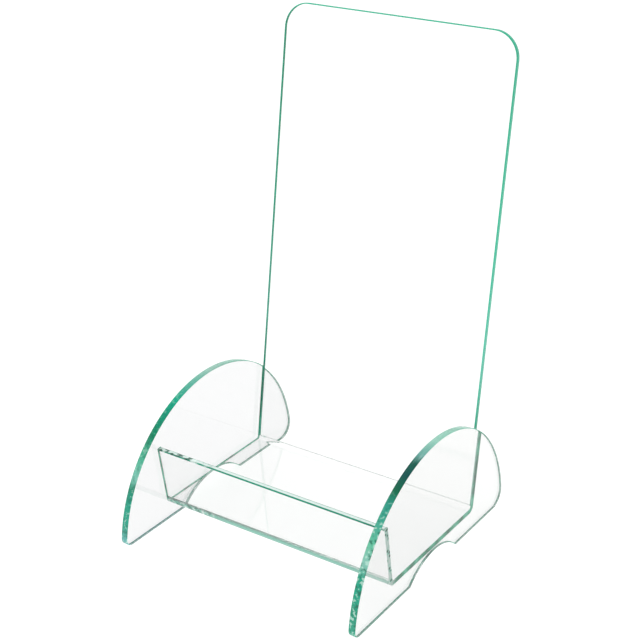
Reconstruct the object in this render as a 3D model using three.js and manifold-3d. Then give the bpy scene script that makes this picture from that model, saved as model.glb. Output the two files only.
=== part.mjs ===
// Clear acrylic magazine rack. One heat-bent sheet makes the back, the shelf and the front lip,
// and it is cemented at each end to a half-round side panel with two flat feet.
// Millimetres, +Z up, front towards -Y, left and right as seen from the front (-X is left).
// The origin is under the middle of the rack's own box, on the floor.
import * as THREE from 'three';
import { mergeVertices } from 'three/addons/utils/BufferGeometryUtils.js';
import Module from 'manifold-3d';

// The bent sheet, with its sizes along its outer side (under, in front of and behind the sheet).
const sheetThickness = 4.5;
const shelfClearance = 16.5; // floor to the underside of the shelf
const shelfLength = 141; // front bend to back bend, corner to corner
const lipLength = 61.5; // front bend to the lip's top edge
const backLength = 420; // back bend to the top edge
const lipLean = 9.9; // degrees that the lip leans forwards from upright
const backRecline = 7.3; // degrees that the back leans backwards from upright
const bendRadius = 2.5; // inside of both bends
const topCornerRadius = 23; // the back's two top corners

// Side panels: a disc segment of flat sheet, standing on its straight side. Its disc is centred
// along Y on the shelf and is just large enough to cover the end of the lip with a rim to spare.
const pocketWidth = 228; // clear width between the two side panels
const panelThickness = 6.35;
const rimWidth = 11.8; // from the lip's top edge to the round edge of the panels
const shelfShift = 1.2; // the shelf's middle lies this far behind the disc's centre
const discCentreDrop = 5.2; // the disc's centre lies this far below the floor line
const toeRadius = 7.5; // rounded corner at the front of each panel
const heelRadius = 15; // rounded corner at the rear
const archSpan = 78.5; // gap between the front and the rear foot
const archRise = 15.5;

const cementThickness = 0.25; // cured film between a sheet end and a side panel
const overcut = 20; // how far the cutting solids reach past what they cut
const curveSegments = 24; // half the straight steps along each arc

const wasm = await Module();
wasm.setup();

const radians = THREE.MathUtils.degToRad;

// Profile axes (shape X, shape Y, extrusion) laid on the rack's (Y, Z, X).
const profileFrame = new THREE.Matrix4().makeBasis(
  new THREE.Vector3(0, 1, 0),
  new THREE.Vector3(0, 0, 1),
  new THREE.Vector3(1, 0, 0),
);

// Extrudes a profile in the YZ plane from xFrom along +X.
function extrudeAcross(shape, xFrom, depth) {
  const geometry = new THREE.ExtrudeGeometry(shape, { depth, bevelEnabled: false, curveSegments });
  geometry.applyMatrix4(profileFrame);
  return geometry.translate(xFrom, 0, 0);
}

function toSolid(geometry) {
  const bare = geometry.clone();
  bare.deleteAttribute('normal');
  bare.deleteAttribute('uv');
  const merged = mergeVertices(bare);
  return new wasm.Manifold(new wasm.Mesh({
    numProp: 3,
    vertProperties: new Float32Array(merged.attributes.position.array),
    triVerts: new Uint32Array(merged.index.array),
  }));
}

function toGeometry(solid) {
  const { vertProperties, triVerts } = solid.getMesh();
  const geometry = new THREE.BufferGeometry();
  geometry.setAttribute('position', new THREE.BufferAttribute(vertProperties, 3));
  geometry.setIndex(new THREE.BufferAttribute(triVerts, 1));
  geometry.computeVertexNormals();
  return geometry;
}

// Unit vector at an angle in degrees above +Y, in the profile plane.
function heading(angle) {
  return new THREE.Vector2(Math.cos(radians(angle)), Math.sin(radians(angle)));
}

// Draws the bend at a corner of the sheet's path, turning from one heading to the next. The arc
// is tangent to both runs, and its centre lies inside the bend, to the left of the path.
function addBend(shape, corner, inAngle, outAngle, radius, reverse = false) {
  const run = radius * Math.tan(radians(outAngle - inAngle) / 2);
  const start = corner.clone().addScaledVector(heading(inAngle), -run);
  const centre = start.clone().addScaledVector(heading(inAngle + 90), radius);
  const angles = [radians(inAngle - 90), radians(outAngle - 90)];
  if (reverse) angles.reverse();
  shape.absarc(centre.x, centre.y, radius, ...angles, reverse);
}

// The sheet's section: down the lip, along the shelf and up the back on the outer side, then
// back along the inner side. Corner points are where the outer straight runs would meet.
const lipAngle = lipLean - 90;
const backAngle = 90 - backRecline;
const frontCorner = new THREE.Vector2(shelfShift - shelfLength / 2, shelfClearance);
const rearCorner = new THREE.Vector2(shelfShift + shelfLength / 2, shelfClearance);
const lipTop = frontCorner.clone().addScaledVector(heading(lipAngle), -lipLength);
const discCentre = new THREE.Vector2(0, -discCentreDrop);
const panelRadius = discCentre.distanceTo(lipTop) + rimWidth;

function innerCorner(corner, inAngle, outAngle) {
  const slant = sheetThickness / Math.cos(radians(outAngle - inAngle) / 2);
  return corner.clone().addScaledVector(heading((inAngle + outAngle) / 2 + 90), slant);
}

function sheetProfile() {
  const backTop = rearCorner.clone().addScaledVector(heading(backAngle), backLength);
  const lipTopInner = lipTop.clone().addScaledVector(heading(lipAngle + 90), sheetThickness);
  const backTopInner = backTop.clone().addScaledVector(heading(backAngle + 90), sheetThickness);
  const outerRadius = bendRadius + sheetThickness;
  const shape = new THREE.Shape();
  shape.moveTo(lipTopInner.x, lipTopInner.y);
  shape.lineTo(lipTop.x, lipTop.y);
  addBend(shape, frontCorner, lipAngle, 0, outerRadius);
  addBend(shape, rearCorner, 0, backAngle, outerRadius);
  shape.lineTo(backTop.x, backTop.y);
  shape.lineTo(backTopInner.x, backTopInner.y);
  addBend(shape, innerCorner(rearCorner, 0, backAngle), 0, backAngle, bendRadius, true);
  addBend(shape, innerCorner(frontCorner, lipAngle, 0), lipAngle, 0, bendRadius, true);
  shape.closePath();
  return shape;
}

// The side panel's outline: two feet with an arch between them, and the round from heel to toe.
function panelProfile() {
  const cornerRound = (radius) => {
    const reach = Math.sqrt((panelRadius - radius) ** 2 - (radius + discCentreDrop) ** 2);
    return { reach, tangent: Math.atan2(radius + discCentreDrop, reach) };
  };
  const toe = cornerRound(toeRadius);
  const heel = cornerRound(heelRadius);
  const halfSpan = archSpan / 2;
  const archRadius = (halfSpan ** 2 + archRise ** 2) / (2 * archRise);
  const archAngle = Math.asin(halfSpan / archRadius);
  const down = -Math.PI / 2;
  const up = Math.PI / 2;
  const shape = new THREE.Shape();
  shape.moveTo(-toe.reach, 0);
  shape.absarc(0, archRise - archRadius, archRadius, up + archAngle, up - archAngle, true);
  shape.absarc(heel.reach, heelRadius, heelRadius, down, heel.tangent, false);
  shape.absarc(0, -discCentreDrop, panelRadius, heel.tangent, Math.PI - toe.tangent, false);
  shape.absarc(-toe.reach, toeRadius, toeRadius, Math.PI - toe.tangent, Math.PI * 1.5, false);
  return shape;
}

// Cutting solid with the back's front outline, rounded at its two top corners. It is drawn from
// the back bend upwards and tipped with the back, and it is deep enough to hold the lip.
function backOutlineSolid(width) {
  const half = width / 2;
  const shape = new THREE.Shape();
  shape.moveTo(-half, -overcut);
  shape.lineTo(half, -overcut);
  shape.absarc(half - topCornerRadius, backLength - topCornerRadius, topCornerRadius, 0, Math.PI / 2);
  shape.absarc(topCornerRadius - half, backLength - topCornerRadius, topCornerRadius, Math.PI / 2, Math.PI);
  const depth = shelfLength + lipLength + 2 * overcut;
  const geometry = new THREE.ExtrudeGeometry(shape, { depth, bevelEnabled: false, curveSegments });
  geometry.translate(0, 0, -overcut).rotateX(radians(backAngle));
  return toSolid(geometry.translate(0, rearCorner.x, rearCorner.y));
}

function makeSheet() {
  const width = pocketWidth - 2 * cementThickness;
  const blank = extrudeAcross(sheetProfile(), -width / 2, width);
  return toGeometry(toSolid(blank).intersect(backOutlineSolid(width)));
}

function makePanel(xFrom) {
  return extrudeAcross(panelProfile(), xFrom, panelThickness);
}

// Film of cement where a sheet end lies against a panel, so it stops at the panel's outline.
function makeCement(xFrom) {
  const film = toSolid(extrudeAcross(sheetProfile(), xFrom, cementThickness));
  const panel = toSolid(extrudeAcross(panelProfile(), xFrom - overcut, cementThickness + 2 * overcut));
  return toGeometry(film.intersect(panel));
}

const rack = new THREE.Group();

function addPiece(name, geometry, color, roughness) {
  const material = new THREE.MeshStandardMaterial({ color, roughness, metalness: 0 });
  material.transparent = true;
  material.opacity = 0.35;
  const mesh = new THREE.Mesh(geometry, material);
  mesh.name = name;
  rack.add(mesh);
}

const innerFace = pocketWidth / 2;
addPiece('bent_sheet', makeSheet(), 0xe9f6f2, 0.04);
addPiece('side_panel_left', makePanel(-innerFace - panelThickness), 0xd6efe7, 0.05);
addPiece('side_panel_right', makePanel(innerFace), 0xd6efe7, 0.05);
addPiece('cement_seam_left', makeCement(-innerFace), 0xcfe4dc, 0.2);
addPiece('cement_seam_right', makeCement(innerFace - cementThickness), 0xcfe4dc, 0.2);

// Centre the rack's box on the origin along Y.
const box = new THREE.Box3().setFromObject(rack);
rack.position.y = -(box.min.y + box.max.y) / 2;

const group = new THREE.Group();
group.add(rack);
export default group;
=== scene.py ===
import math
import bmesh
import bpy
from mathutils import Matrix, Vector


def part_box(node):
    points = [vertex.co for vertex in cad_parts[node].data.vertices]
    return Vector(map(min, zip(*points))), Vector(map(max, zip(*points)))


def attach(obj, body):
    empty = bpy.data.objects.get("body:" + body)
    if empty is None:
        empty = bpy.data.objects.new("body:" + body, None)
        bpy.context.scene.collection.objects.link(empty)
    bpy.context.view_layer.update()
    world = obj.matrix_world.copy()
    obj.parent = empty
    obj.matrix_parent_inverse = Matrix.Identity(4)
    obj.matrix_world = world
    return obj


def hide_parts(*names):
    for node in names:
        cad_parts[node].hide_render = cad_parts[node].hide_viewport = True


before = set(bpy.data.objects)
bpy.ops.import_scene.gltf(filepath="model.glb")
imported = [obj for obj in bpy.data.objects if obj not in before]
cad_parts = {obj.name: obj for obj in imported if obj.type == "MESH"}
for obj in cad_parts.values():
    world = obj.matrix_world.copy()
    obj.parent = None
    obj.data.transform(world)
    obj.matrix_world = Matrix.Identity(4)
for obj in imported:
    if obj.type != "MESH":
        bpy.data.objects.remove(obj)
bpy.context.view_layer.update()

# Clear acrylic magazine rack: a bent sheet cemented between two half-round side panels.
# Metres, +Z up, front towards -Y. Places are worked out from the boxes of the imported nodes.

mm = 0.001


def linearColour(hexCode, alpha=1.0):
    values = [int(hexCode[i:i + 2], 16) / 255 for i in (1, 3, 5)]
    return [v / 12.92 if v <= 0.04045 else ((v + 0.055) / 1.055) ** 2.4 for v in values] + [alpha]


# A node's socket by its number, or by its name. A Mix node has one of each name for every type of
# value, so a name gives the one in use.
def pick(sockets, key):
    if isinstance(key, int):
        return sockets[key]
    return [socket for socket in sockets if socket.name == key and socket.enabled][0]


def addNode(tree, kind, settings=None, links=None):
    node = tree.nodes.new(kind)
    for key, value in (settings or {}).items():
        if isinstance(key, int) or key in node.inputs:
            pick(node.inputs, key).default_value = value
        else:
            setattr(node, key, value)
    for key, socket in (links or {}).items():
        tree.links.new(socket, pick(node.inputs, key))
    return node


# Each stop is a position, a colour and, where it isn't whole, an alpha.
def fillRamp(ramp, stops):
    elements = ramp.color_ramp.elements
    while len(elements) < len(stops):
        elements.new(0.5)
    for element, (position, *colour) in zip(elements, stops):
        element.position = position
        element.color = linearColour(*colour)


def newMaterial(name):
    material = bpy.data.materials.new(name)
    material.use_nodes = True
    material.node_tree.nodes.clear()
    return material, material.node_tree


# Fades a share out along some axes. Each range gives an axis, where the share is whole and where it
# is gone.
def fadeAlong(tree, parts, share, ranges):
    for axis, whole, gone in ranges:
        fade = addNode(tree, "ShaderNodeMapRange", {
            "From Min": whole * mm, "From Max": gone * mm, "To Min": 1.0, "To Max": 0.0}, {
            "Value": parts.outputs[axis]})
        product = addNode(tree, "ShaderNodeMath", {"operation": "MULTIPLY"}, {
            0: share, 1: fade.outputs["Result"]})
        share = product.outputs["Value"]
    return share


# Cast acrylic, clear through its faces. Light that gets in runs along the sheet and comes out at the
# cut edges, which flame polishing leaves glossy but a little wavy. That light is painted into the edges'
# colour: a deep teal, the sheet's own tone seen end on, with painted paler and darker stretches along
# them for light and reflection, and small flecks that are painted glints and painted dark reflections.
# The attribute cutEdge says how much of a cut edge each face is, and the second attribute how much
# painted glow it gets for light welling out of it, as along the lip's top and the front bend.
def castAcrylic(name, settings):
    material, tree = newMaterial(name)
    place = addNode(tree, "ShaderNodeTexCoord").outputs["Object"]
    parts = addNode(tree, "ShaderNodeSeparateXYZ", None, {"Vector": place})
    cut = addNode(tree, "ShaderNodeAttribute", {"attribute_name": "cutEdge"}).outputs["Fac"]
    paintedGlow = addNode(tree, "ShaderNodeAttribute", {"attribute_name": "paintedGlowEdge"}).outputs["Fac"]

    # The edge's colour along its run, with its painted stretches of light, then painted paler where
    # light wells out, then with its painted glints and dark reflections.
    edgeShare = settings["edgeShare"](tree, parts)
    edgeColour = addNode(tree, "ShaderNodeValToRGB", None, {"Fac": edgeShare})
    fillRamp(edgeColour, settings["edgeColours"])
    # Painted glow: the edge is painted pale where light wells out of it.
    shade = addNode(tree, "ShaderNodeMix", {"data_type": "RGBA", "B": linearColour(settings["pale"])}, {
        "Factor": paintedGlow, "A": edgeColour.outputs["Color"]})
    # Painted glints, near white, and painted dark reflections, as small flecks on the edges.
    glintNoise = addNode(tree, "ShaderNodeTexNoise", {
        "Scale": 1 / (settings["glintSize"] * mm), "Detail": 2.0, "Roughness": 0.5}, {"Vector": place})
    glintColour = addNode(tree, "ShaderNodeValToRGB", None, {"Fac": glintNoise.outputs["Fac"]})
    fillRamp(glintColour, settings["glintColours"])
    glintShare = fadeAlong(tree, parts, glintColour.outputs["Alpha"], settings["glintRanges"])
    edge = addNode(tree, "ShaderNodeMix", {"data_type": "RGBA"}, {
        "Factor": glintShare, "A": pick(shade.outputs, "Result"), "B": glintColour.outputs["Color"]})
    colour = addNode(tree, "ShaderNodeMix", {"data_type": "RGBA", "A": linearColour(settings["face"])}, {
        "Factor": cut, "B": pick(edge.outputs, "Result")})

    # A cut edge spreads light where a face lets it through, and one painted pale with welling light lets
    # none through.
    roughness = addNode(tree, "ShaderNodeMapRange", {
        "To Min": settings["roughness"], "To Max": settings["edgeRoughness"]}, {"Value": cut})
    cutClearness = addNode(tree, "ShaderNodeMapRange", {
        "To Min": 1.0, "To Max": settings["edgeClearness"]}, {"Value": cut})
    notPale = addNode(tree, "ShaderNodeMath", {"operation": "SUBTRACT", 0: 1.0}, {1: paintedGlow})
    clearness = addNode(tree, "ShaderNodeMath", {"operation": "MULTIPLY"}, {
        0: cutClearness.outputs["Result"], 1: notPale.outputs["Value"]})

    # Casting leaves the faces with a long faint ripple, and the flame leaves the edges wavy.
    ripple = addNode(tree, "ShaderNodeTexNoise", {
        "Scale": 1 / (settings["rippleSize"] * mm), "Detail": 2.0}, {"Vector": place})
    faceBump = addNode(tree, "ShaderNodeBump", {
        "Strength": 1.0, "Distance": settings["rippleDepth"] * mm}, {"Height": ripple.outputs["Fac"]})
    wave = addNode(tree, "ShaderNodeTexNoise", {
        "Scale": 1 / (settings["waveSize"] * mm), "Detail": 1.0}, {"Vector": place})
    edgeHeight = addNode(tree, "ShaderNodeMath", {"operation": "MULTIPLY"}, {
        0: wave.outputs["Fac"], 1: cut})
    edgeBump = addNode(tree, "ShaderNodeBump", {
        "Strength": 1.0, "Distance": settings["waveDepth"] * mm}, {
        "Height": edgeHeight.outputs["Value"], "Normal": faceBump.outputs["Normal"]})

    surface = addNode(tree, "ShaderNodeBsdfPrincipled", {"IOR": settings["ior"]}, {
        "Base Color": pick(colour.outputs, "Result"), "Roughness": roughness.outputs["Result"],
        "Transmission Weight": clearness.outputs["Value"], "Normal": edgeBump.outputs["Normal"]})
    inside = addNode(tree, "ShaderNodeVolumeAbsorption", {
        "Color": linearColour(settings["tint"]), "Density": settings["tintDensity"]})
    addNode(tree, "ShaderNodeOutputMaterial", None, {
        "Surface": surface.outputs["BSDF"], "Volume": inside.outputs["Volume"]})
    return material


# Sizes, depths and ranges are in millimetres. Each look below adds its edge colours, every one at its
# share of the way along the edge, and the function that works out that share.
acrylic = {
    "ior": 1.49, "roughness": 0.0, "tint": "#00e6cd", "tintDensity": 3.0, "face": "#fcfbfb",
    "edgeRoughness": 0.08, "edgeClearness": 0.25, "pale": "#e4f7f1",
    "rippleSize": 60.0, "rippleDepth": 0.02, "waveSize": 4.0, "waveDepth": 0.25, "glintSize": 3.5,
    # The fleck colours are painted glints and painted dark reflections.
    "glintColours": ((0.38, "#00644e", 0.7), (0.44, "#00644e", 0.0), (0.57, "#b4ecdb", 0.0),
                     (0.64, "#d8fff2", 0.75))}

# Points nearer than merge become one. Edges sharper than sharpAngle, in degrees, are rounded. A face
# counts as turned to an axis when its normal's share along that axis is over facing.
limits = {"merge": 0.001 * mm, "sharpAngle": 40, "facing": 0.02}


def newPiece():
    bm = bmesh.new()
    bm.faces.layers.float.new("cutEdge")
    bm.faces.layers.float.new("paintedGlowEdge")
    return bm


def finishPiece(name, bm, material, node):
    bmesh.ops.remove_doubles(bm, verts=bm.verts, dist=limits["merge"])
    bmesh.ops.recalc_face_normals(bm, faces=bm.faces)
    pieceMesh = bpy.data.meshes.new(name)
    bm.to_mesh(pieceMesh)
    bm.free()
    pieceMesh.materials.append(material)
    piece = bpy.data.objects.new(name, pieceMesh)
    bpy.context.scene.collection.objects.link(piece)
    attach(piece, "root")
    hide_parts(node)


# Marks how much of a cut edge some faces are, from 0 on a broad clear face to 1, and how much painted
# glow, for light welling out, they get.
def markCut(bm, faces, amount, paintedGlow=0.0):
    cutEdge = bm.faces.layers.float["cutEdge"]
    paintedGlowEdge = bm.faces.layers.float["paintedGlowEdge"]
    for face in faces:
        face[cutEdge] = amount
        face[paintedGlowEdge] = paintedGlow


# Rounds the corners of the cut edges. The broad faces stay flat, so that they reflect as a sheet does.
def softenEdges(bm, radius, segments, keepSharp=()):
    sharpAngle = math.radians(limits["sharpAngle"])
    corners = [e for e in bm.edges if len(e.link_faces) == 2 and e.calc_face_angle() > sharpAngle
               and e not in keepSharp]
    made = bmesh.ops.bevel(bm, geom=corners, affect="EDGES", offset=radius, offset_type="OFFSET",
                           segments=segments, profile=0.5, material=-1, clamp_overlap=True)
    for face in made["faces"]:
        face.smooth = True
    markCut(bm, made["faces"], 1.0)


def pushFace(bm, face, move):
    made = bmesh.ops.extrude_face_region(bm, geom=[face])
    verts = [v for v in made["geom"] if isinstance(v, bmesh.types.BMVert)]
    bmesh.ops.translate(bm, verts=verts, vec=move)
    return [f for f in made["geom"] if isinstance(f, bmesh.types.BMFace)][0]


# The bent sheet: its section is carried down the lip, round the front bend, along the shelf, round
# the back bend and up the back. Angles are in degrees and lengths are along the outer side.
sheet = {"thickness": 4.5 * mm, "lipLength": 61.5 * mm, "lipLean": 9.9, "backRecline": 7.3,
         "bendRadius": 2.5 * mm, "bendSteps": 12, "topCorner": 23 * mm, "cornerSteps": 24,
         "edgeRadius": 1.0 * mm, "edgeSteps": 3, "lipRim": 1.4 * mm, "lipGlow": 1.0,
         "bendMargin": 1.5 * mm, "bendEdgePaint": 0.9, "bendGlow": 0.25}
lipAngle = sheet["lipLean"] - 90
backAngle = 90 - sheet["backRecline"]
outerRadius = sheet["bendRadius"] + sheet["thickness"]


# How far up the rack a place on the sheet is, from 0 at the floor to 1 at the top.
def shareOfHeight(tree, parts):
    share = addNode(tree, "ShaderNodeMapRange", {"From Max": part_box("bent_sheet")[1].z}, {
        "Value": parts.outputs["Z"]})
    return share.outputs["Result"]


# The sheet's edge colours by height are painted light: paler and darker stretches where its rims catch
# or lose light, over the teal tone.
sheetLook = {
    **acrylic, "edgeShare": shareOfHeight, "glintSize": 5.0,
    "glintRanges": (("X", -75.0, -50.0), ("Y", -50.0, -40.0)),
    # Painted glints and dark reflections on the sheet's edges, only at its left end.
    "glintColours": ((0.40, "#00543f", 0.85), (0.47, "#00644e", 0.0), (0.53, "#b4ecdb", 0.0),
                     (0.60, "#f0fffa", 0.9)),
    "edgeColours": ((0.04, "#2bbd9d"), (0.10, "#4fcaa9"), (0.17, "#1c9f80"), (0.24, "#24b28f"),
                    (0.34, "#5fd0b4"), (0.60, "#3cc8a4"), (1.0, "#35bd9a"))}


# The way the sheet runs at an angle above +Y.
def along(angle):
    return Vector((0, math.cos(math.radians(angle)), math.sin(math.radians(angle))))


# How far from its corner a bend of the sheet starts.
def bendRun(turn):
    return outerRadius * math.tan(math.radians(turn) / 2)


def bendFace(bm, face, corner, inAngle, outAngle):
    turn = outAngle - inAngle
    centre = corner - along(inAngle) * bendRun(turn) + along(inAngle + 90) * outerRadius
    made = bmesh.ops.spin(bm, geom=[face] + list(face.edges) + list(face.verts), cent=centre,
                          axis=(1, 0, 0), angle=math.radians(turn), steps=sheet["bendSteps"],
                          use_duplicate=False)
    return [f for f in made["geom_last"] if isinstance(f, bmesh.types.BMFace)][0]


# The corners of the sheet's outer side, from the lip's top to where the back reaches a height.
def sheetCorners(topHeight):
    low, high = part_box("bent_sheet")
    innerRise = (along(backAngle + 90) * sheet["thickness"]).z
    lipTop = Vector((0, low.y, low.z)) - Vector((0, 0, along(lipAngle).z * sheet["lipLength"]))
    frontCorner = lipTop + along(lipAngle) * sheet["lipLength"]
    backRise = high.z - low.z - innerRise
    backRun = backRise / math.tan(math.radians(backAngle))
    rearCorner = Vector((0, high.y, low.z)) - Vector((0, backRun, 0))
    backTop = rearCorner + along(backAngle) * ((topHeight - low.z - innerRise) / along(backAngle).z)
    return lipTop, frontCorner, rearCorner, backTop


# A strip of the sheet between two places along X. Gives the mesh and its last face, at the back's top.
def sheetStrip(xLow, xHigh, corners):
    lipTop, frontCorner, rearCorner, backTop = corners
    frontRun = bendRun(-lipAngle)
    rearRun = bendRun(backAngle)
    thickness = sheet["thickness"]
    bm = newPiece()
    section = []
    for side, depth in ((xLow, 0), (xHigh, 0), (xHigh, thickness), (xLow, thickness)):
        section.append(bm.verts.new(lipTop + along(lipAngle + 90) * depth + Vector((side, 0, 0))))
    face = bm.faces.new(section)
    face = pushFace(bm, face, along(lipAngle) * (sheet["lipLength"] - frontRun - sheet["bendMargin"]))
    face = pushFace(bm, face, along(lipAngle) * sheet["bendMargin"])
    face = bendFace(bm, face, frontCorner, lipAngle, 0)
    face = pushFace(bm, face, (rearCorner - frontCorner) - Vector((0, frontRun + rearRun, 0)))
    face = bendFace(bm, face, rearCorner, 0, backAngle)
    face = pushFace(bm, face, backTop - rearCorner - along(backAngle) * rearRun)
    return bm, face


def isNear(face, place):
    return (face.calc_center_median() - place).length < sheet["thickness"]


# The faces of the front bend, outside and inside, with the margin above it that the heat reached.
def isFrontBend(face, frontCorner):
    place = face.calc_center_median()
    top = frontCorner.z + outerRadius + sheet["bendMargin"]
    return place.z < top and place.y < 0 and abs(face.normal.y) > limits["facing"]


# The edges of the sheet's two ends that lie in the cement, along the lip, the shelf and both bends.
def cementedEdges(bm, lipTop):
    top = lipTop.z - sheet["thickness"]
    found = set()
    for edge in bm.edges:
        start, end = (v.co for v in edge.verts)
        if abs(start.x - end.x) < limits["merge"] and (start.z + end.z) / 2 < top:
            found.add(edge)
    return found


def bentSheet(material):
    low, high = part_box("bent_sheet")
    corners = sheetCorners(high.z)
    lipTop, frontCorner, _, backTop = corners
    bm, face = sheetStrip(low.x, high.x, corners)
    sides = [e for e in face.edges if abs((e.verts[0].co - e.verts[1].co).x) < limits["merge"]]
    bmesh.ops.bevel(bm, geom=sides, affect="EDGES", offset=sheet["topCorner"], offset_type="OFFSET",
                    segments=sheet["cornerSteps"], profile=0.5, material=-1)
    bm.normal_update()
    # The front bend is painted like a cut edge, teal and a little pale, for the light seen along the
    # sheet through the bend.
    bend = [f for f in bm.faces if isFrontBend(f, frontCorner)]
    markCut(bm, bend, sheet["bendEdgePaint"], sheet["bendGlow"])
    markCut(bm, [f for f in bm.faces if abs(f.normal.x) > limits["facing"] or isNear(f, backTop)], 1.0)
    lipFace = [f for f in bm.faces if isNear(f, lipTop)]
    markCut(bm, lipFace, 1.0)
    bmesh.ops.inset_individual(bm, faces=lipFace, thickness=sheet["lipRim"])
    # The lip's top is painted pale with glow between its teal rims, for the light welling out of it.
    markCut(bm, lipFace, 1.0, sheet["lipGlow"])
    softenEdges(bm, sheet["edgeRadius"], sheet["edgeSteps"], cementedEdges(bm, lipTop))
    finishPiece("bentSheet", bm, material, "bent_sheet")


bentSheet(castAcrylic("castAcrylicHeatBent", sheetLook))
print("bent sheet made")

# Side panels: one outline, swept by its arcs from vertex to vertex, filled and given its thickness.
panel = {"toe": 7.5 * mm, "heel": 15 * mm, "archSpan": 78.5 * mm, "archRise": 15.5 * mm,
         "centreDrop": 5.2 * mm, "discSteps": 120, "cornerSteps": 10, "archSteps": 28,
         "edgeRadius": 0.6 * mm, "edgeSteps": 3}


# How far round a side panel's rim a place is, as a share of a half turn from front to rear.
def shareOfRound(tree, parts):
    rise = addNode(tree, "ShaderNodeMath", {"operation": "ADD", 1: panel["centreDrop"]}, {
        0: parts.outputs["Z"]})
    forwards = addNode(tree, "ShaderNodeMath", {"operation": "MULTIPLY", 1: -1.0}, {
        0: parts.outputs["Y"]})
    angle = addNode(tree, "ShaderNodeMath", {"operation": "ARCTAN2"}, {
        0: rise.outputs["Value"], 1: forwards.outputs["Value"]})
    share = addNode(tree, "ShaderNodeMapRange", {"From Max": math.pi}, {
        "Value": angle.outputs["Value"]})
    return share.outputs["Result"]


# The panels' faces are painted a shade greyer than the sheet's, the left more than the right: painted
# shade for the studio they mirror. Each panel's edge colours paint the paler and darker stretches of
# light and reflection round its rim, a different set on each side.
leftLook = {
    **acrylic, "edgeShare": shareOfRound, "face": "#edebec", "glintRanges": (("Z", -20.0, 150.0),),
    "edgeColours": ((0.032, "#6dc7c2"), (0.062, "#00b293"), (0.126, "#00b293"), (0.150, "#009575"),
                    (0.174, "#8edbc8"), (0.212, "#59c9a8"), (0.275, "#00976e"), (0.327, "#00a684"),
                    (0.375, "#00bf9b"), (0.412, "#52c2a9"), (0.447, "#78cfba"), (0.5, "#a7d9c9"),
                    (0.6, "#7fd0b6"), (0.8, "#3cb894"))}
rightLook = {
    **acrylic, "edgeShare": shareOfRound, "face": "#f2f0f0", "glintRanges": (("Z", 85.0, 105.0),),
    "edgeColours": ((0.032, "#34b898"), (0.075, "#00a481"), (0.113, "#00bc98"), (0.146, "#00b08e"),
                    (0.178, "#9ddfce"), (0.212, "#70d4b0"), (0.248, "#57c6aa"), (0.300, "#34af99"),
                    (0.333, "#007752"), (0.375, "#005a58"), (0.412, "#006454"), (0.439, "#73bbb2"),
                    (0.5, "#afecd9"), (0.56, "#9fe4cd"), (0.64, "#6fccb0"), (0.8, "#3cb894"))}


def sweepVertex(bm, vert, centre, angle, steps):
    made = bmesh.ops.spin(bm, geom=[vert], cent=centre, axis=(1, 0, 0), angle=angle, steps=steps,
                          use_duplicate=False)
    return [v for v in made["geom_last"] if isinstance(v, bmesh.types.BMVert)][0]


# How far in front of or behind the disc's centre a rounded corner's own centre lies.
def cornerReach(node, radius):
    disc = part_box(node)[1].z + panel["centreDrop"]
    return math.sqrt((disc - radius) ** 2 - (radius + panel["centreDrop"]) ** 2)


def discCentre(node):
    low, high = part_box(node)
    return Vector((low.x, low.y + cornerReach(node, panel["toe"]) + panel["toe"], -panel["centreDrop"]))


def sidePanel(node, name, material):
    low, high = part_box(node)
    centre = discCentre(node)
    toe, heel = panel["toe"], panel["heel"]
    toeCentre = Vector((low.x, centre.y - cornerReach(node, toe), toe))
    heelCentre = Vector((low.x, centre.y + cornerReach(node, heel), heel))
    toeTangent = math.atan2(toe - centre.z, centre.y - toeCentre.y)
    heelTangent = math.atan2(heel - centre.z, heelCentre.y - centre.y)
    halfSpan, rise = panel["archSpan"] / 2, panel["archRise"]
    archRadius = (halfSpan ** 2 + rise ** 2) / (2 * rise)
    archCentre = Vector((low.x, centre.y, rise - archRadius))
    bm = newPiece()
    archFront = bm.verts.new((low.x, centre.y - halfSpan, 0))
    archRear = sweepVertex(bm, archFront, archCentre, -2 * math.asin(halfSpan / archRadius),
                           panel["archSteps"])
    heelFoot = bm.verts.new((low.x, heelCentre.y, 0))
    bm.edges.new((archRear, heelFoot))
    rear = sweepVertex(bm, heelFoot, heelCentre, math.pi / 2 + heelTangent, panel["cornerSteps"])
    front = sweepVertex(bm, rear, centre, math.pi - toeTangent - heelTangent, panel["discSteps"])
    toeFoot = sweepVertex(bm, front, toeCentre, math.pi / 2 + toeTangent, panel["cornerSteps"])
    bm.edges.new((toeFoot, archFront))
    face = bmesh.ops.contextual_create(bm, geom=list(bm.edges))["faces"][0]
    pushFace(bm, face, Vector((high.x - low.x, 0, 0)))
    rim = [f for f in bm.faces if len(f.verts) == 4]
    for f in rim:
        f.smooth = True
    markCut(bm, rim, 1.0)
    bmesh.ops.recalc_face_normals(bm, faces=bm.faces)
    softenEdges(bm, panel["edgeRadius"], panel["edgeSteps"])
    finishPiece(name, bm, material, node)


sidePanel("side_panel_left", "sidePanelLeft", castAcrylic("castAcrylicFlamePolishedLeft", leftLook))
sidePanel("side_panel_right", "sidePanelRight",
          castAcrylic("castAcrylicFlamePolishedRight", rightLook))
print("side panels made")
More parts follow.
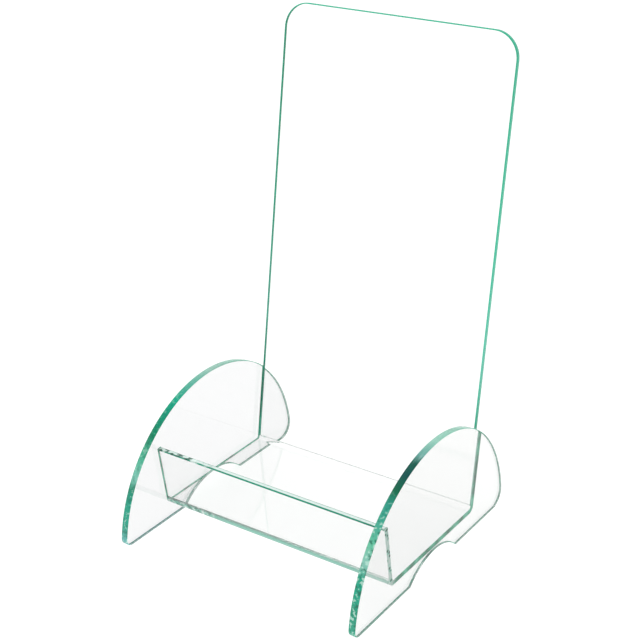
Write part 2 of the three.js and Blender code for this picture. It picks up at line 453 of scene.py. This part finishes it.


# Acrylic cement, a clear film cured in the joint, teal where light from the sheet's end meets it, that
# light painted into the film's colour in patches. In front of the bend on the right, where the gap
# closed unevenly, it holds rows of small bubbles that look like beads, bumped, with painted shade dark
# in the middle and painted highlight pale between.
def acrylicCement(name, settings):
    material, tree = newMaterial(name)
    place = addNode(tree, "ShaderNodeTexCoord").outputs["Object"]
    parts = addNode(tree, "ShaderNodeSeparateXYZ", None, {"Vector": place})
    beads = addNode(tree, "ShaderNodeTexVoronoi", {
        "Scale": 1 / (settings["beadSize"] * mm), "Randomness": 0.6}, {"Vector": place})
    beadColour = addNode(tree, "ShaderNodeValToRGB", None, {"Fac": beads.outputs["Distance"]})
    fillRamp(beadColour, settings["beadColours"])
    beaded = fadeAlong(tree, parts, beadColour.outputs["Alpha"], settings["beadRanges"])
    patches = addNode(tree, "ShaderNodeTexNoise", {
        "Scale": 1 / (settings["patchSize"] * mm), "Detail": 2.0}, {"Vector": place})
    filmColour = addNode(tree, "ShaderNodeValToRGB", None, {"Fac": patches.outputs["Fac"]})
    fillRamp(filmColour, settings["filmColours"])
    colour = addNode(tree, "ShaderNodeMix", {"data_type": "RGBA"}, {
        "Factor": beaded, "A": filmColour.outputs["Color"], "B": beadColour.outputs["Color"]})
    bump = addNode(tree, "ShaderNodeBump", {
        "Strength": 1.0, "Distance": settings["beadDepth"] * mm}, {"Height": beads.outputs["Distance"]})
    surface = addNode(tree, "ShaderNodeBsdfPrincipled", {
        "IOR": settings["ior"], "Roughness": settings["roughness"],
        "Transmission Weight": settings["clearness"]}, {
        "Base Color": pick(colour.outputs, "Result"), "Normal": bump.outputs["Normal"]})
    addNode(tree, "ShaderNodeOutputMaterial", None, {"Surface": surface.outputs["BSDF"]})
    return material


cement = {
    "ior": 1.49, "roughness": 0.06, "clearness": 0.1,
    "beadSize": 3.6, "beadDepth": 0.1, "beadRanges": (("Y", -66.0, -58.0), ("X", 1.0, 0.0)),
    # The bead colours paint shade in the bubbles' middles and highlight between them.
    "beadColours": ((0.20, "#003d2c"), (0.32, "#1c9a78"), (0.42, "#9df0d6"), (0.60, "#e6fff6")),
    "patchSize": 16.0, "filmColours": ((0.35, "#007a5c"), (0.5, "#00cf9a"), (0.65, "#70f0cc"))}


# Cement seams: a thin film between each end of the sheet and its side panel, cut off at the panel's
# rim. It reaches a hair into both, so that no air shows in the joint.
seam = {"bite": 0.05 * mm, "trim": 0.1 * mm, "overcut": 20 * mm, "onPlane": 0.0001 * mm}


def cementSeam(node, name, panelNode, material):
    low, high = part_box(node)
    corners = sheetCorners(high.z + seam["overcut"])
    bm, _ = sheetStrip(low.x - seam["bite"], high.x + seam["bite"], corners)
    centre = discCentre(panelNode)
    outwards = Vector((0, high.y - centre.y, high.z - centre.z)).normalized()
    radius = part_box(panelNode)[1].z - centre.z
    chord = math.sqrt(radius ** 2 - (sheet["thickness"] / 2) ** 2) - seam["trim"]
    cut = bmesh.ops.bisect_plane(bm, geom=list(bm.verts) + list(bm.edges) + list(bm.faces),
                                 dist=seam["onPlane"], plane_co=centre + outwards * chord,
                                 plane_no=outwards, clear_outer=True)
    rim = [e for e in cut["geom_cut"] if isinstance(e, bmesh.types.BMEdge)]
    bmesh.ops.contextual_create(bm, geom=rim)
    finishPiece(name, bm, material, node)


cementFilm = acrylicCement("acrylicCementCured", cement)
cementSeam("cement_seam_left", "cementSeamLeft", "side_panel_left", cementFilm)
cementSeam("cement_seam_right", "cementSeamRight", "side_panel_right", cementFilm)
print("cement seams made")

# Floor, lights and camera. The sky is white at the horizon and greyer overhead, so that faces shine
# white and the rims that face up keep a deep colour.
studio = {"floor": "#6c6e6d", "floorRoughness": 0.6, "floorRadius": 6.0, "floorSteps": 96,
          "floorDrop": 0.2 * mm, "glow": 0.98, "bounces": 96,
          "sky": ((0.0, "#ffffff"), (0.5, "#f4f4f4"), (0.75, "#b4b4b4"), (1.0, "#a4a4a4")),
          "softbox": 18.0, "softboxSize": 1.6, "softboxPlace": (-0.4, 0.2, 1.9),
          "softboxAim": (0, 0, 0.1)}
scene = bpy.context.scene

# A light table with an opal acrylic top, evenly lit from below, so that shadows on it are faint.
floorMaterial, floorTree = newMaterial("opalAcrylicLightTable")
floorSurface = addNode(floorTree, "ShaderNodeBsdfPrincipled", {
    "Base Color": linearColour(studio["floor"]), "Roughness": studio["floorRoughness"],
    "Emission Color": linearColour("#ffffff"), "Emission Strength": studio["glow"]})
addNode(floorTree, "ShaderNodeOutputMaterial", None, {"Surface": floorSurface.outputs["BSDF"]})
bm = bmesh.new()
bmesh.ops.create_circle(bm, cap_ends=True, segments=studio["floorSteps"],
                        radius=studio["floorRadius"])
bmesh.ops.translate(bm, verts=bm.verts, vec=(0, 0, -studio["floorDrop"]))
floorMesh = bpy.data.meshes.new("floor")
bm.to_mesh(floorMesh)
bm.free()
floorMesh.materials.append(floorMaterial)
floor = bpy.data.objects.new("floor", floorMesh)
scene.collection.objects.link(floor)

scene.world = bpy.data.worlds.new("studio")
scene.world.use_nodes = True
sky = scene.world.node_tree
direction = addNode(sky, "ShaderNodeTexCoord").outputs["Generated"]
upwards = addNode(sky, "ShaderNodeSeparateXYZ", None, {"Vector": direction}).outputs["Z"]
brightness = addNode(sky, "ShaderNodeValToRGB", None, {"Fac": upwards})
fillRamp(brightness, studio["sky"])
sky.links.new(brightness.outputs["Color"], sky.nodes["Background"].inputs["Color"])
sky.nodes["Background"].inputs["Strength"].default_value = 1.0
scene.view_settings.view_transform = "Standard"

# Light bounces many times inside a sheet before it leaves, and with few bounces the edges turn black.
for name in ("max_bounces", "transmission_bounces", "glossy_bounces"):
    setattr(scene.cycles, name, studio["bounces"])

lamp = bpy.data.lights.new("softboxTop", "AREA")
lamp.shape = "SQUARE"
lamp.size = studio["softboxSize"]
lamp.energy = studio["softbox"]
lampObject = bpy.data.objects.new("softboxTop", lamp)
lampObject.location = studio["softboxPlace"]
lampAim = Vector(studio["softboxAim"]) - lampObject.location
lampObject.rotation_euler = lampAim.to_track_quat("-Z", "Y").to_euler()
lampObject.visible_glossy = False
scene.collection.objects.link(lampObject)

# The camera looks at its aim from the front right and above. Angles are in degrees, and the lens and
# the sensor in millimetres.
view = {"azimuth": 33.68, "elevation": 24.29, "roll": -0.12, "distance": 1.1765, "lens": 79.4,
        "sensor": 36, "clip": (0.05, 50), "aim": (0.0058, -0.0038, 0.2027)}
camera = bpy.data.objects.new("camera", bpy.data.cameras.new("camera"))
camera.data.lens = view["lens"]
camera.data.sensor_width = view["sensor"]
camera.data.clip_start, camera.data.clip_end = view["clip"]
turn, rise = math.radians(view["azimuth"]), math.radians(view["elevation"])
back = Vector((math.sin(turn) * math.cos(rise), -math.cos(turn) * math.cos(rise), math.sin(rise)))
camera.location = Vector(view["aim"]) + back * view["distance"]
roll = Matrix.Rotation(math.radians(-view["roll"]), 3, back)
camera.rotation_euler = (roll @ (-back).to_track_quat("-Z", "Y").to_matrix()).to_euler()
scene.collection.objects.link(camera)
scene.camera = camera
print("studio set")
